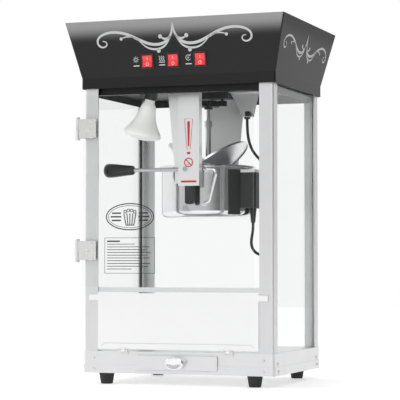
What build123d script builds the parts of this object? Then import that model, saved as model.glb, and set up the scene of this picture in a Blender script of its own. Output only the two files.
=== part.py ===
from build123d import *
import math
import os

# A countertop popcorn maker: a glazed cabinet on a base with a crumb drawer, a black flared canopy
# with the switches and the drive, and a steel kettle that hangs between two hangers and tips over.
# Millimetres, +Z up, the front faces -Y, and the origin is on the table under the middle.

# ---- driving dimensions ----
HALF_W = 208.0
HALF_D = 163.0
FOOT_H = 23.0
BASE_TOP = 68.0
BAND_Z = 613.0
BAND_TOP = 635.0
TOP_Z = 750.0
BAND_OUT = 4.0
FLARE = 27.0
SHEET = 1.5
GLASS = 3.0

POST_LEG_X = 30.0
POST_LEG_Y = 27.0
POST_WALL = 3.0
POST_IN = 1.7

RAIL_Z = 190.0
RAIL_H = 10.0
DOOR_TOP = 598.0
DOOR_RIGHT = 166.0
DOOR_Y = -168.0
DOOR_T = 4.0
HINGE_X = -220.0
HINGE_ZS = (276.0, 530.0)
HINGE_H = 48.0

FLAP_HALF = 175.0
FLAP_AXIS_Y = -167.0
FLAP_AXIS_Z = 70.0
FLAP_TOP = 188.0

DRAWER_HALF = 88.0
DRAWER_Z = (31.0, 61.0)
DRAWER_DEEP = 255.0

SWITCH_XS = (-60.5, -4.0, 55.0)
SWITCH_Z = 665.0
ROCKER_TILT = 8.0

KETTLE_Y = 28.0
KETTLE_R = 100.0
KETTLE_BOTTOM = 346.0
KETTLE_RIM = 457.0
PIVOT_Z = 445.0
LID_HINGE_X = 13.0
LID_HINGE_Z = 460.5
LID_REST = 35.0

GEAR_MODULE = 1.5
GEAR_TEETH = 30
PINION_TEETH = 12
GEAR_Z = (586.0, 598.0)
COUPLING_Z = 550.0

LEAD_D = 6.0


# ---- small shape helpers ----
def block(x0, x1, y0, y1, z0, z1):
    """A box between two corners."""
    size = Box(abs(x1 - x0), abs(y1 - y0), abs(z1 - z0))
    return Pos((x0 + x1) / 2, (y0 + y1) / 2, (z0 + z1) / 2) * size


def rod_z(x, y, z0, z1, radius):
    """A round bar along Z."""
    return Pos(x, y, (z0 + z1) / 2) * Cylinder(radius, abs(z1 - z0))


def rod_y(x, z, y0, y1, radius):
    """A round bar along Y."""
    return Pos(x, (y0 + y1) / 2, z) * Rot(90, 0, 0) * Cylinder(radius, abs(y1 - y0))


def rod_x(y, z, x0, x1, radius):
    """A round bar along X."""
    return Pos((x0 + x1) / 2, y, z) * Rot(0, 90, 0) * Cylinder(radius, abs(x1 - x0))


def tray(half_x, half_y, z0, z1, corner):
    """A flat rectangle with round corners, pulled up from z0 to z1."""
    return Pos(0, 0, z0) * extrude(RectangleRounded(2 * half_x, 2 * half_y, corner), z1 - z0)


def plate_xz(points, y0, y1):
    """A flat plate cut to an outline of (x, z) points, from y0 to y1."""
    face = make_face(Polyline(*[(x, y0, z) for x, z in points], close=True))
    return extrude(face, amount=y1 - y0, dir=(0, 1, 0))


def group(shapes):
    """Separate solids that share one node."""
    solids = []
    for shape in shapes:
        solids.extend(shape.solids())
    return Compound(children=solids)


def about(point, degrees, axis):
    """The placement that turns a shape by some degrees about an axis through a point."""
    turns = {"x": Rot(degrees, 0, 0), "y": Rot(0, degrees, 0), "z": Rot(0, 0, degrees)}
    return Pos(*point) * turns[axis] * Pos(*[-c for c in point])


CORNERS = ((-1, -1), (1, -1), (-1, 1), (1, 1))
NODES = {}


def keep(name, shape):
    """Remembers a finished piece under its node name."""
    NODES[name] = shape


# ---- feet and base ----
FOOT_X = 162.0
FOOT_Y = 146.0
FOOT_R = (12.5, 16.0)


def make_feet():
    """Four tapered rubber feet, each on a screw that goes up into the base floor."""
    feet = [Pos(sx * FOOT_X, sy * FOOT_Y, FOOT_H / 2) * Cone(*FOOT_R, FOOT_H)
            for sx, sy in CORNERS]
    keep("feet", group(feet))


LIP_OUT = 1.2
LIP_TOP = 41.0
DRAWER_HOLE = (86.5, 30.5, 57.0)
GLAND_X = 150.0
GLAND_Z = 51.0
GLAND_R = 8.0
SCREW_X = 185.0
SCREW_FRONT_ZS = (31.0, 54.0)
SCREW_SIDE_Y = 139.0
SCREW_SIDE_ZS = (31.0, 47.0)


def make_base():
    """The folded base pan: floor, four walls with a hem at the bottom, and the drawer's hole."""
    outer = tray(HALF_W, HALF_D, FOOT_H, BASE_TOP, 6)
    hem = tray(HALF_W + LIP_OUT, HALF_D + LIP_OUT, FOOT_H, LIP_TOP, 7)
    inner = tray(HALF_W - SHEET, HALF_D - SHEET, FOOT_H + SHEET, BASE_TOP, 4.5)
    half, low, high = DRAWER_HOLE
    hole = block(-half, half, -HALF_D - 5, -HALF_D + 5, low, high)
    hole += rod_y(GLAND_X, GLAND_Z, HALF_D - 5, HALF_D + 5, GLAND_R)
    keep("base_pan", outer + hem - inner - hole)


DECK_T = 1.5
DECK_HOLE_R = 2.6
DECK_HOLES = (13, 5)
DECK_PITCH = (24.0, 20.0)


def make_deck():
    """The cabinet floor: a steel plate in the mouth of the base, with drain holes for crumbs."""
    plate = tray(HALF_W - SHEET - 0.3, HALF_D - SHEET - 0.3, BASE_TOP - DECK_T, BASE_TOP, 4)
    for sx in (-1, 1):
        for sy in (-1, 1):
            plate -= block(sx * 175, sx * 210, sy * 132, sy * 170, BASE_TOP - 5, BASE_TOP + 5)
    spots = GridLocations(*DECK_PITCH, *DECK_HOLES)
    holes = [Pos(0, -80, BASE_TOP) * spot * Cylinder(DECK_HOLE_R, 8) for spot in spots]
    keep("deck_plate", plate - holes)


WARMER_Z = 60.0
WARMER_R = 3.2
WARMER_X = 60.0
WARMER_Y = (-20.0, 140.0)
WARMER_BEND = 25.0
CLIP_HALF = 5.0
CLIP_T = 1.2
RUNNER_X = (79.0, 87.5)
RUNNER_Y = (-160.0, 95.0)
RUNNER_TOP = 42.0
RUNNER_T = 1.2


def make_base_inside():
    """The warming element under the deck, its clips, and the two drawer runners."""
    near, far = WARMER_Y
    path = FilletPolyline((WARMER_X, far, WARMER_Z), (WARMER_X, near, WARMER_Z),
                          (-WARMER_X, near, WARMER_Z), (-WARMER_X, far, WARMER_Z),
                          radius=[WARMER_BEND, WARMER_BEND])
    element = sweep(Plane(path @ 0, z_dir=path % 0) * Circle(WARMER_R), path)
    top = BASE_TOP - DECK_T
    clips = []
    for x, y in ((-WARMER_X, far - 40), (WARMER_X, far - 40), (0, near)):
        loop = block(x - CLIP_HALF, x + CLIP_HALF, y - CLIP_HALF, y + CLIP_HALF,
                     WARMER_Z - WARMER_R - CLIP_T, top)
        gap = rod_y(x, WARMER_Z, y - 9, y + 9, WARMER_R) if x else rod_x(y, WARMER_Z, -9, 9, WARMER_R)
        clips.append(loop - gap)
    keep("deck_warmer", group([element] + clips))
    runners = []
    for side in (-1, 1):
        low = block(side * RUNNER_X[0], side * RUNNER_X[1], *RUNNER_Y, FOOT_H + SHEET, DRAWER_Z[0])
        wall = block(side * (RUNNER_X[1] - RUNNER_T), side * RUNNER_X[1], *RUNNER_Y,
                     DRAWER_Z[0], RUNNER_TOP)
        runners.append(low + wall)
    keep("drawer_runners", group(runners))


NUT_R = 11.0
NUT_H = 6.0
NOSE_R = 7.5
NOSE_END = 15.0
STEM_IN = 12.0
MAINS_BORE_R = 4.0


def make_gland():
    """The mains lead's gland in the back wall of the base: a body, a hexagon nut and an open nose."""
    back = HALF_D
    nut = Pos(GLAND_X, back, GLAND_Z) * Rot(-90, 0, 0) * extrude(RegularPolygon(NUT_R, 6), NUT_H)
    nose = rod_y(GLAND_X, GLAND_Z, back + NUT_H, back + NOSE_END, NOSE_R)
    stem = rod_y(GLAND_X, GLAND_Z, back - STEM_IN, back, GLAND_R)
    bore = rod_y(GLAND_X, GLAND_Z, back - 20, back + 20, MAINS_BORE_R)
    keep("mains_gland", nut + nose + stem - bore)


FRONT_GAP = 1.7
FRONT_T = 3.0
TRAY_HALF = 85.0
TRAY_TOP = 51.0
TRAY_T = 1.2
KNOB_HALF = (20.5, 13.5)
KNOB_T = 9.0
NECK_HALF = (9.0, 6.0)
NECK_LENGTH = 7.0


def make_drawer():
    """The crumb drawer: an overlapping front, a shallow tray behind it and an oval knob."""
    low, high = DRAWER_Z
    front_back = -HALF_D - FRONT_GAP
    face = block(-DRAWER_HALF, DRAWER_HALF, front_back - FRONT_T, front_back, low, high)
    keep("drawer_front", fillet(face.edges().filter_by(Axis.Y), 2))
    back = front_back + DRAWER_DEEP
    floor = low + 0.5
    body = block(-TRAY_HALF, TRAY_HALF, front_back, back, floor, TRAY_TOP)
    inside = block(TRAY_T - TRAY_HALF, TRAY_HALF - TRAY_T, front_back + TRAY_T, back - TRAY_T,
                   floor + TRAY_T, TRAY_TOP + 9)
    keep("drawer_tray", body - inside)
    middle = Pos(0, front_back - FRONT_T, (low + high) / 2)
    neck = middle * Rot(90, 0, 0) * extrude(Ellipse(*NECK_HALF), NECK_LENGTH)
    head = middle * Pos(0, -NECK_LENGTH, 0) * Rot(90, 0, 0) * extrude(Ellipse(*KNOB_HALF), KNOB_T)
    head = fillet(head.edges().sort_by(Axis.Y)[0], 4)
    keep("drawer_knob", neck + head)


# ---- cabinet frame and glass ----
POST_X = HALF_W - POST_IN
POST_Y = HALF_D - POST_IN
SIDE_GLASS_X = POST_X - POST_WALL - 0.6 - GLASS
BACK_GLASS_Y = POST_Y - POST_WALL - 0.6 - GLASS


def post_profile():
    """The post's section for the front-right corner mirrored to +X +Y: an angle and one glass lip."""
    outer = Pos(-POST_LEG_X / 2, -POST_LEG_Y / 2) * Rectangle(POST_LEG_X, POST_LEG_Y)
    outer = fillet(outer.vertices().sort_by(Axis.X)[-2:].sort_by(Axis.Y)[-1], 4)
    cut_x, cut_y = POST_LEG_X - POST_WALL, POST_LEG_Y - POST_WALL
    angle = outer - Pos(-POST_WALL - cut_x / 2, -POST_WALL - cut_y / 2) * Rectangle(cut_x, cut_y)
    lip_x = -POST_WALL - GLASS - 1.2 - 1.0
    lip = Pos(lip_x, -POST_WALL - 8) * Rectangle(2, 16.2)
    return angle + lip


def make_posts():
    """Four aluminium corner posts: an angle with a round corner and an inner lip that holds the glass."""
    length = BAND_TOP - 2 - FOOT_H - SHEET
    posts = []
    for sx, sy in CORNERS:
        profile = post_profile()
        if sx < 0:
            profile = mirror(profile, Plane.YZ)
        if sy < 0:
            profile = mirror(profile, Plane.XZ)
        profile = Pos(sx * POST_X, sy * POST_Y, FOOT_H + SHEET) * profile
        posts.append(extrude(profile, length, dir=(0, 0, 1)))
    keep("corner_posts", group(posts))


SCREW_R = 3.6
SCREW_HEAD_H = 1.8


def button_head(x, y, z, turn):
    """A round-headed screw whose head stands on a face; turn is the outward side of that face."""
    head = Pos(0, 0, SCREW_HEAD_H / 2) * Cylinder(SCREW_R, SCREW_HEAD_H)
    head = fillet(head.edges().sort_by(Axis.Z)[-1], SCREW_HEAD_H * 0.7)
    recess = Pos(0, 0, SCREW_HEAD_H) * (Box(4, 0.9, 1.2) + Box(0.9, 4, 1.2))
    turns = {"-y": Rot(90, 0, 0), "+y": Rot(-90, 0, 0), "-x": Rot(0, -90, 0), "+x": Rot(0, 90, 0),
             "-z": Rot(180, 0, 0)}
    return Pos(x, y, z) * turns[turn] * (head - recess)


def base_screws():
    """The screws that hold the base's corners to the posts."""
    heads = []
    for sx in (-1, 1):
        for z in SCREW_FRONT_ZS:
            stand = LIP_OUT if z < LIP_TOP else 0
            heads.append(button_head(sx * SCREW_X, -HALF_D - stand, z, "-y"))
            heads.append(button_head(sx * SCREW_X, HALF_D + stand, z, "+y"))
        for z in SCREW_SIDE_ZS:
            stand = LIP_OUT if z < LIP_TOP else 0
            for sy in (-1, 1):
                turn = "+x" if sx > 0 else "-x"
                heads.append(button_head(sx * (HALF_W + stand), sy * SCREW_SIDE_Y, z, turn))
    return heads


def make_glass():
    """The fixed panes: left, right and back."""
    z0, z1 = BASE_TOP + 0.5, BAND_Z - 2
    depth = POST_Y - POST_WALL - 0.6
    sides = [block(side * SIDE_GLASS_X, side * (SIDE_GLASS_X + GLASS), -depth, depth, z0, z1)
             for side in (-1, 1)]
    keep("side_glass", group(sides))
    half = SIDE_GLASS_X - 3.5
    keep("glass_back", block(-half, half, BACK_GLASS_Y, BACK_GLASS_Y + GLASS, z0, z1))


def make_rails():
    """The bar across the front between the door and the flap, and the frame under the canopy."""
    half = POST_X - POST_WALL - 9
    bar = block(-half, half, -POST_Y + POST_WALL + 0.3, -POST_Y + 15, RAIL_Z, RAIL_Z + RAIL_H)
    inner = block(-half - 1, half + 1, -POST_Y + POST_WALL + 1.5, -POST_Y + 20, RAIL_Z + 1.2,
                  RAIL_Z + RAIL_H - 1.2)
    keep("front_cross_rail", bar - inner)


# ---- door ----
def make_door():
    """The tempered glass door that hangs in front of the posts on two barrel hinges."""
    left = -HALF_W + 0.5
    pane = block(left, DOOR_RIGHT, DOOR_Y - DOOR_T / 2, DOOR_Y + DOOR_T / 2, RAIL_Z + RAIL_H, DOOR_TOP)
    keep("door_glass", fillet(pane.edges().filter_by(Axis.Y), 3))


BARREL_R = 5.0
PIN_R = 2.0
LEAF_T = 2.0
LEAF_X = -177.0


def make_door_hinges():
    """Each hinge: a leaf on the glass, a leaf on the post's side, their half barrels and a pin."""
    moving, fixed, pins, door_screws, wall_screws = [], [], [], [], []
    front = DOOR_Y - DOOR_T / 2
    for z in HINGE_ZS:
        low, mid, high = z - HINGE_H / 2, z, z + HINGE_H / 2
        leaf = block(HINGE_X + 3, LEAF_X, front - LEAF_T, front, low + 4, high - 4)
        upper = rod_z(HINGE_X, DOOR_Y, mid + 0.3, high, BARREL_R)
        clear = rod_z(HINGE_X, DOOR_Y, low - 1, mid + 0.3, BARREL_R + 0.6)
        bore = rod_z(HINGE_X, DOOR_Y, low - 1, high + 1, PIN_R + 0.05)
        moving.append(leaf + upper - clear - bore)
        side = block(-POST_X - LEAF_T, -POST_X, DOOR_Y + 8, -POST_Y + 24, low + 4, high - 4)
        arm = block(HINGE_X, -POST_X, DOOR_Y + 3.2, DOOR_Y + 8, low + 4, mid - 0.5)
        lower = rod_z(HINGE_X, DOOR_Y, low, mid - 0.3, BARREL_R)
        fixed.append(side + arm + lower - bore)
        pins.append(rod_z(HINGE_X, DOOR_Y, low - 0.2, high + 0.2, PIN_R))
        for dx, dz in ((17, 15), (24, -2), (17, -17)):
            door_screws.append(button_head(LEAF_X - dx + 6, front - LEAF_T, z + dz, "-y"))
        for dz in (-13, 13):
            wall_screws.append(button_head(-POST_X - LEAF_T, -POST_Y + 15, z + dz, "-x"))
    keep("door_hinge_leaves", group(moving))
    keep("door_hinge_screws", group(door_screws))
    return fixed, pins, wall_screws


# ---- serving flap ----
FLAP_T = 1.4
FLAP_BACK_Y = -162.6
EAR_Z = (173.0, 185.0)
EAR_OUT = 195.0
FLAP_KNUCKLE_XS = (-117.0, 112.0)
KNUCKLE_R = 3.0
MAGNET_R = 6.5
MAGNET_T = 1.5
MAGNET_X = 188.0
FLAP_PIN_R = 1.5
PIN_PLAY = 0.05
FOLD = 8.0
FOLD_T = 1.2


def make_flap():
    """The steel serving flap: a plate with folded sides and top, two ears and two hinge barrels."""
    y0 = FLAP_BACK_Y - FLAP_T
    plate = block(-FLAP_HALF, FLAP_HALF, y0, FLAP_BACK_Y, FLAP_AXIS_Z + 2.5, FLAP_TOP)
    for sx in (-1, 1):
        plate += block(sx * (FLAP_HALF - FOLD_T), sx * FLAP_HALF, y0, FLAP_BACK_Y + FOLD,
                       FLAP_AXIS_Z + 9, FLAP_TOP)
        plate += block(sx * FLAP_HALF, sx * EAR_OUT, y0 - 0.4, y0 + 1.0, *EAR_Z)
    plate += block(-FLAP_HALF, FLAP_HALF, y0, FLAP_BACK_Y + FOLD, FLAP_TOP - FOLD_T, FLAP_TOP)
    for x in FLAP_KNUCKLE_XS:
        barrel = rod_x(FLAP_AXIS_Y, FLAP_AXIS_Z, x - 4, x + 4, KNUCKLE_R)
        web = block(x - 4, x + 4, FLAP_AXIS_Y, y0 + 1, FLAP_AXIS_Z + 0.5, FLAP_AXIS_Z + 5)
        plate += barrel + web
        plate -= rod_x(FLAP_AXIS_Y, FLAP_AXIS_Z, x - 5, x + 5, FLAP_PIN_R + PIN_PLAY)
    keep("serving_flap", plate)
    fixed, pins, magnets = [], [], []
    for x in FLAP_KNUCKLE_XS:
        leaf = block(x - 10, x + 10, -HALF_D - 1.2, -HALF_D, 60, FLAP_AXIS_Z - 4)
        for sx in (-1, 1):
            leaf += rod_x(FLAP_AXIS_Y, FLAP_AXIS_Z, x + sx * 4.5, x + sx * 10, KNUCKLE_R)
            leaf += block(x + sx * 4.5, x + sx * 10, FLAP_AXIS_Y - 1, -HALF_D, FLAP_AXIS_Z - 4.2,
                          FLAP_AXIS_Z - 1.7)
        bore = rod_x(FLAP_AXIS_Y, FLAP_AXIS_Z, x - 11, x + 11, FLAP_PIN_R + PIN_PLAY)
        fixed.append(leaf - bore)
        pins.append(rod_x(FLAP_AXIS_Y, FLAP_AXIS_Z, x - 10.4, x + 10.4, FLAP_PIN_R))
    for sx in (-1, 1):
        magnets.append(rod_y(sx * MAGNET_X, sum(EAR_Z) / 2, -POST_Y - MAGNET_T, -POST_Y, MAGNET_R))
    keep("flap_magnets", group(magnets))
    return fixed, pins


def make_fixed_hinge_parts():
    """The fixed halves of the door and flap hinges, the hinge pins, and the frame's screws."""
    door_leaves, door_pins, door_screws = make_door_hinges()
    flap_leaves, flap_pins = make_flap()
    keep("fixed_hinge_leaves", group(door_leaves + flap_leaves))
    keep("hinge_pins", group(door_pins + flap_pins))
    keep("frame_screws", group(base_screws() + door_screws + hanger_screws()))


# ---- canopy ----
BAND_X = HALF_W + BAND_OUT
BAND_Y = HALF_D + BAND_OUT
COVER_Z = 741.0
RAIL_X = 194.0
RAIL_Y = 148.0
CORNER_R = 5.0
VENT_XS = range(-120, 121, 24)
VENT_SIZE = (60.0, 6.0)
LAMP_HOLE_R = 15.0
SHAFT_HOLE_R = 7.0
PINION_HOLE_R = 12.0
CEILING_DROP = 14.0


def flared(inset, z0, z1):
    """The canopy's solid outline between two heights, pulled in by an inset."""
    rise = (z1 - BAND_TOP) / (TOP_Z - BAND_TOP) * FLARE
    drop = (z0 - BAND_TOP) / (TOP_Z - BAND_TOP) * FLARE
    low = RectangleRounded(2 * (BAND_X + drop - inset), 2 * (BAND_Y + drop - inset), CORNER_R - inset)
    high = RectangleRounded(2 * (BAND_X + rise - inset), 2 * (BAND_Y + rise - inset), CORNER_R - inset)
    return loft([Pos(0, 0, z0) * low, Pos(0, 0, z1) * high])


SLOPE = math.degrees(math.atan2(FLARE, TOP_Z - BAND_TOP))
SWITCH_Y = -(BAND_Y + (SWITCH_Z - BAND_TOP) / (TOP_Z - BAND_TOP) * FLARE)
BEZEL = (27.0, 32.0)
WINDOW = (21.5, 27.0)
BODY_SIZE = (23.4, 28.4)
BODY_DEEP = 22.2
BEZEL_T = 2.2
ROCKER_HALF = (10.2, 12.2)
BLADE = (6.3, 0.8, 9.0)


def on_panel(x):
    """The placement of a switch on the leaning front panel: Z out of the panel, Y up along it."""
    return Pos(x, SWITCH_Y, SWITCH_Z) * Rot(90 + SLOPE, 0, 0)


def make_canopy():
    """The black sheet canopy: an upright band and a flared part, open below, with a lid let into the top."""
    shell = tray(BAND_X, BAND_Y, BAND_Z, BAND_TOP, CORNER_R) + flared(0, BAND_TOP, TOP_Z)
    room = tray(BAND_X - SHEET, BAND_Y - SHEET, BAND_Z - 1, BAND_TOP, CORNER_R - SHEET)
    shell -= room + flared(SHEET, BAND_TOP, TOP_Z)
    for x in SWITCH_XS:
        shell -= on_panel(x) * Box(BODY_SIZE[0] + 0.4, BODY_SIZE[1] + 0.4, 8)
    keep("canopy_shell", shell)
    inset = SHEET + 0.6
    cover = flared(inset, COVER_Z - 2, COVER_Z)
    for x in VENT_XS:
        cover -= Pos(x, 110, COVER_Z) * extrude(SlotOverall(*VENT_SIZE, rotation=90), 8, both=True)
    keep("canopy_top_cover", cover)
    ceiling = tray(BAND_X - SHEET - 0.4, BAND_Y - SHEET - 0.4, BAND_Z + 1, BAND_Z + 2.5, 3.5)
    for sx in (-1, 1):
        for sy in (-1, 1):
            ceiling -= block(sx * 175, sx * 215, sy * 133, sy * 170, BAND_Z - 5, BAND_Z + 8)
    ceiling -= rod_z(LAMP_X, LAMP_Y, BAND_Z - 5, BAND_Z + 8, LAMP_HOLE_R)
    ceiling -= rod_z(0, KETTLE_Y, BAND_Z - 5, BAND_Z + 8, SHAFT_HOLE_R)
    ceiling -= rod_z(PINION_X, KETTLE_Y, BAND_Z - 5, BAND_Z + 8, PINION_HOLE_R)
    for side in (-1, 1):
        ceiling += block(-190, 190, side * RAIL_Y, side * (RAIL_Y + 1), BAND_Z - CEILING_DROP, BAND_Z + 1)
        ceiling += block(side * RAIL_X, side * (RAIL_X + 1), -128, 128, BAND_Z - CEILING_DROP, BAND_Z + 1)
    keep("ceiling_plate", ceiling)


def make_switches():
    """Three lit rockers, each in a housing with a bezel that lies on the panel."""
    housings = []
    for name, x in zip(("light", "heat", "motor"), SWITCH_XS):
        place = on_panel(x)
        bezel = Pos(0, 0, 0.1 + BEZEL_T / 2) * Box(*BEZEL, BEZEL_T)
        bezel = fillet(bezel.edges().filter_by(Axis.Z), 1.5)
        body = Pos(0, 0, -11) * Box(*BODY_SIZE, BODY_DEEP)
        window = Pos(0, 0, -4) * Box(*WINDOW, 16)
        blades = [Pos(0, dy, -26) * Box(*BLADE) for dy in (-8, 0, 8)]
        housings.append(place * (bezel + body - window + blades))
        half = ROCKER_HALF[1]
        side = Polyline((-half, 2.4), (0, 0.2), (half, 2.4), (half - 1, -6), (-half + 1, -6), close=True)
        cap = extrude(Plane.YZ * make_face(side), ROCKER_HALF[0], both=True)
        cap = Rot(-ROCKER_TILT, 0, 0) * fillet(cap.edges().filter_by(Axis.X).sort_by(Axis.Z)[-2:], 0.6)
        keep("rocker_" + name, place * Pos(0, 0, 1.6) * cap)
    keep("switch_housings", group(housings))


# ---- drive ----
PITCH_R = GEAR_MODULE * GEAR_TEETH / 2
PINION_X = GEAR_MODULE * (GEAR_TEETH + PINION_TEETH) / 2
MOTOR_Z = (BAND_Z + 26, BAND_Z + 86)
SHAFT_R = 4.0
SPINDLE_R = 3.0
TONGUE = (8.0, 3.0, 8.0)
GEARBOX_X = (-30.0, 52.0)
GEARBOX_Y = (-26.0, 26.0)
GUARD_Z = 602.0
MOTOR_R = 34.0
MOTOR_NECK_R = 20.0


def gear(teeth, z0, z1, phase):
    """A spur gear with plain flanks and room at the tips and roots; phase turns the first tooth."""
    pitch = GEAR_MODULE * teeth / 2
    tip, root = pitch + 0.78 * GEAR_MODULE, pitch - 1.2 * GEAR_MODULE
    half = 360 / teeth / 4
    outline = []
    for i in range(teeth):
        middle = phase + 360 / teeth * i
        for radius, spread in ((root, -1.3), (pitch, -0.8), (tip, -0.38), (tip, 0.38), (pitch, 0.8),
                               (root, 1.3)):
            angle = math.radians(middle + spread * half)
            outline.append((radius * math.cos(angle), radius * math.sin(angle)))
    face = make_face(Polyline(*outline, close=True))
    return Pos(0, 0, z0) * extrude(face, z1 - z0)


def make_drive():
    """The motor and its gearbox in the canopy, the pinion, and the big gear on the drive shaft."""
    axis = Pos(0, KETTLE_Y, 0)
    top = BAND_Z + 24
    housing = block(*GEARBOX_X, *GEARBOX_Y, BAND_Z + 2.5, top)
    housing -= rod_z(0, 0, 0, top - 4, SHAFT_R + PIN_PLAY)
    housing -= rod_z(PINION_X, 0, 0, top + 5, SPINDLE_R + PIN_PLAY)
    keep("gearbox", axis * fillet(housing.edges().filter_by(Axis.Z), 6))
    guard = block(*GEARBOX_X, *GEARBOX_Y, GUARD_Z, BAND_Z + 1)
    guard -= rod_z(0, 0, GUARD_Z - 12, top, SHAFT_R + PIN_PLAY)
    guard -= rod_z(PINION_X, 0, GUARD_Z - 12, top, SPINDLE_R + PIN_PLAY)
    keep("drive_bearing_block", axis * fillet(guard.edges().filter_by(Axis.Z), 5))
    motor = rod_z(PINION_X, 0, *MOTOR_Z, MOTOR_R)
    motor = fillet(motor.edges().filter_by(GeomType.CIRCLE), 4)
    stem = rod_z(PINION_X, 0, top, MOTOR_Z[0], MOTOR_NECK_R)
    bore = rod_z(PINION_X, 0, top - 1, MOTOR_Z[0] + 20, SPINDLE_R + PIN_PLAY)
    keep("motor_body", axis * (motor + stem - bore))
    spindle = rod_z(PINION_X, 0, GEAR_Z[0] + 1, MOTOR_Z[0] + 18, SPINDLE_R)
    offset = 180 / PINION_TEETH
    teeth = Pos(PINION_X, 0, 0) * gear(PINION_TEETH, GEAR_Z[0] + 1, GEAR_Z[1], 180 + offset)
    keep("motor_pinion", axis * (spindle + teeth))
    shaft = rod_z(0, 0, COUPLING_Z + 7, top - 5, SHAFT_R)
    tongue = Pos(0, 0, COUPLING_Z + TONGUE[2] / 2) * Box(*TONGUE)
    hub = rod_z(0, 0, GEAR_Z[0] - 5, GEAR_Z[0], 9)
    keep("drive_gear", axis * (gear(GEAR_TEETH, *GEAR_Z, 0) + hub - rod_z(0, 0, 500, 700, SHAFT_R)))
    keep("drive_shaft", axis * (shaft + tongue))


# ---- lamp, outlet bracket ----
LAMP_X = -72.0
LAMP_Y = -118.0
LAMP_TILT = 14.0


def make_lamp():
    """A reflector lamp that leans to the left in a black lampholder screwed through the ceiling."""
    place = Pos(LAMP_X, LAMP_Y, BAND_Z - 2) * Rot(0, LAMP_TILT, 0)
    holder = Pos(0, 0, -10) * Cylinder(13.5, 22) - Pos(0, 0, -16) * Cylinder(10.6, 14)
    flange = Pos(0, 0, 2) * Cylinder(13.5, 3)
    keep("lamp_holder", place * (holder + flange))
    side = [(0, -12), (10.4, -12), (10.4, -26), (16, -34), (19, -52), (27, -72), (38, -88), (40, -94),
            (36, -98.5), (22, -104), (0, -107)]
    face = make_face(Polyline(*side, close=True))
    keep("lamp_bulb", place * Rot(90, 0, 0) * revolve(face, Axis.Y))


BRACKET_Y = 18.0
BRACKET_TOP = (54.0, 118.0)
BRACKET_LOW = (82.0, 106.0)
BRACKET_BOTTOM = 560.0
LEAD_TOP = (94.0, 10.0, 556.0)


def make_outlet():
    """The kettle lead's outlet: a tapered sheet bracket under the ceiling, its socket and the lead's plug."""
    (a, b), (c, d) = BRACKET_TOP, BRACKET_LOW
    outline = [(a, BAND_Z), (b, BAND_Z), (d, BRACKET_BOTTOM), (c, BRACKET_BOTTOM)]
    sheet = plate_xz(outline, BRACKET_Y, BRACKET_Y + 1.2)
    floor = block(c, d, BRACKET_Y - 16, BRACKET_Y + 1.2, BRACKET_BOTTOM, BRACKET_BOTTOM + 1.2)
    foot = block(a, b, BRACKET_Y - 14, BRACKET_Y + 1.2, BAND_Z - 0.2, BAND_Z + 1)
    hole = rod_z(LEAD_TOP[0], LEAD_TOP[1], BRACKET_BOTTOM - 2, BRACKET_BOTTOM + 4, 5)
    keep("outlet_bracket", sheet + floor + foot - hole)
    x, y, z = LEAD_TOP
    nut = Pos(x, y, z) * extrude(RegularPolygon(7, 6), 4)
    keep("lead_gland", nut + rod_z(x, y, z + 4, BRACKET_BOTTOM + 12, 4.9))


# ---- hangers ----
HANGER_Y = -113.5
HANGER_T = 1.5
HANGER_LOW = 410.0
WING_Y = -96.0
NOTCH_Z = 454.0
FACE_X = (-16.0, 30.0)
WING_XS = (-46.0, -31.0, -29.0)
WING_LOW = 416.0
STOP_X = (-2.0, 16.0)
STOP_Z = (372.0, 417.0)
REAR_HANGER_Y = 139.5
REAR_HALF = (45.0, 26.0)
REAR_LOW = 424.0
HANGER_FOOT = 14.0
RIB_X = 18.0
RIB_Z = (465.0, BAND_Z - 16)
PIVOT_R = 5.0


def make_hangers():
    """The folded front hanger with its wing, the ribbed rear hanger, and the screws up into the ceiling."""
    x0, x1 = FACE_X
    front = block(x0, x1, HANGER_Y, HANGER_Y + HANGER_T, HANGER_LOW, BAND_Z)
    front += block(x1 - HANGER_T, x1, HANGER_Y, WING_Y, HANGER_LOW, BAND_Z)
    front += block(x0, x0 + HANGER_T, HANGER_Y, WING_Y + HANGER_T, NOTCH_Z, BAND_Z)
    inner = x0 + HANGER_T
    wing = [(inner, BAND_Z), (WING_XS[0], BAND_Z), (WING_XS[1], NOTCH_Z), (WING_XS[2], WING_LOW),
            (inner, WING_LOW)]
    front += plate_xz(wing, WING_Y, WING_Y + HANGER_T)
    front += block(x0, x1, HANGER_Y, WING_Y + HANGER_T, BAND_Z - 0.5, BAND_Z + 1)
    keep("front_hanger", front - rod_y(0, PIVOT_Z, HANGER_Y - 5, HANGER_Y + 5, PIVOT_R + 0.05))
    y0, y1 = REAR_HANGER_Y, REAR_HANGER_Y + HANGER_T
    wide, narrow = REAR_HALF
    outline = [(-wide, BAND_Z + 1), (wide, BAND_Z + 1), (narrow, REAR_LOW), (-narrow, REAR_LOW)]
    rear = plate_xz(outline, y0, y1)
    for x in (-RIB_X, RIB_X):
        rear += block(x - 3, x + 3, y1 - 0.2, y1 + 2.5, *RIB_Z)
    rear += block(-wide, wide, y0 - HANGER_FOOT, y1, BAND_Z - 0.5, BAND_Z + 1)
    keep("rear_hanger", rear - rod_y(0, PIVOT_Z, y0 - 5, y1 + 5, PIVOT_R + 0.05))
    stop = block(*STOP_X, HANGER_Y + HANGER_T, HANGER_Y + 15, *STOP_Z)
    keep("kettle_latch_block", fillet(stop.edges().filter_by(Axis.Y).sort_by(Axis.Z)[:2], 6))


def hanger_screws():
    """The screws that hold the two hangers' feet up against the ceiling."""
    heads = [button_head(x, REAR_HANGER_Y - 8, BAND_Z - 0.5, "-z") for x in (-32, 32)]
    heads += [button_head(x, HANGER_Y + 9, BAND_Z - 0.5, "-z") for x in (-4, 18)]
    return heads


# ---- kettle ----
PAN_R = 94.0
PAN_T = 1.2
PAN_FLOOR = 376.0
RIM_R = 104.0
JACKET_TOP = 452.0


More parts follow.
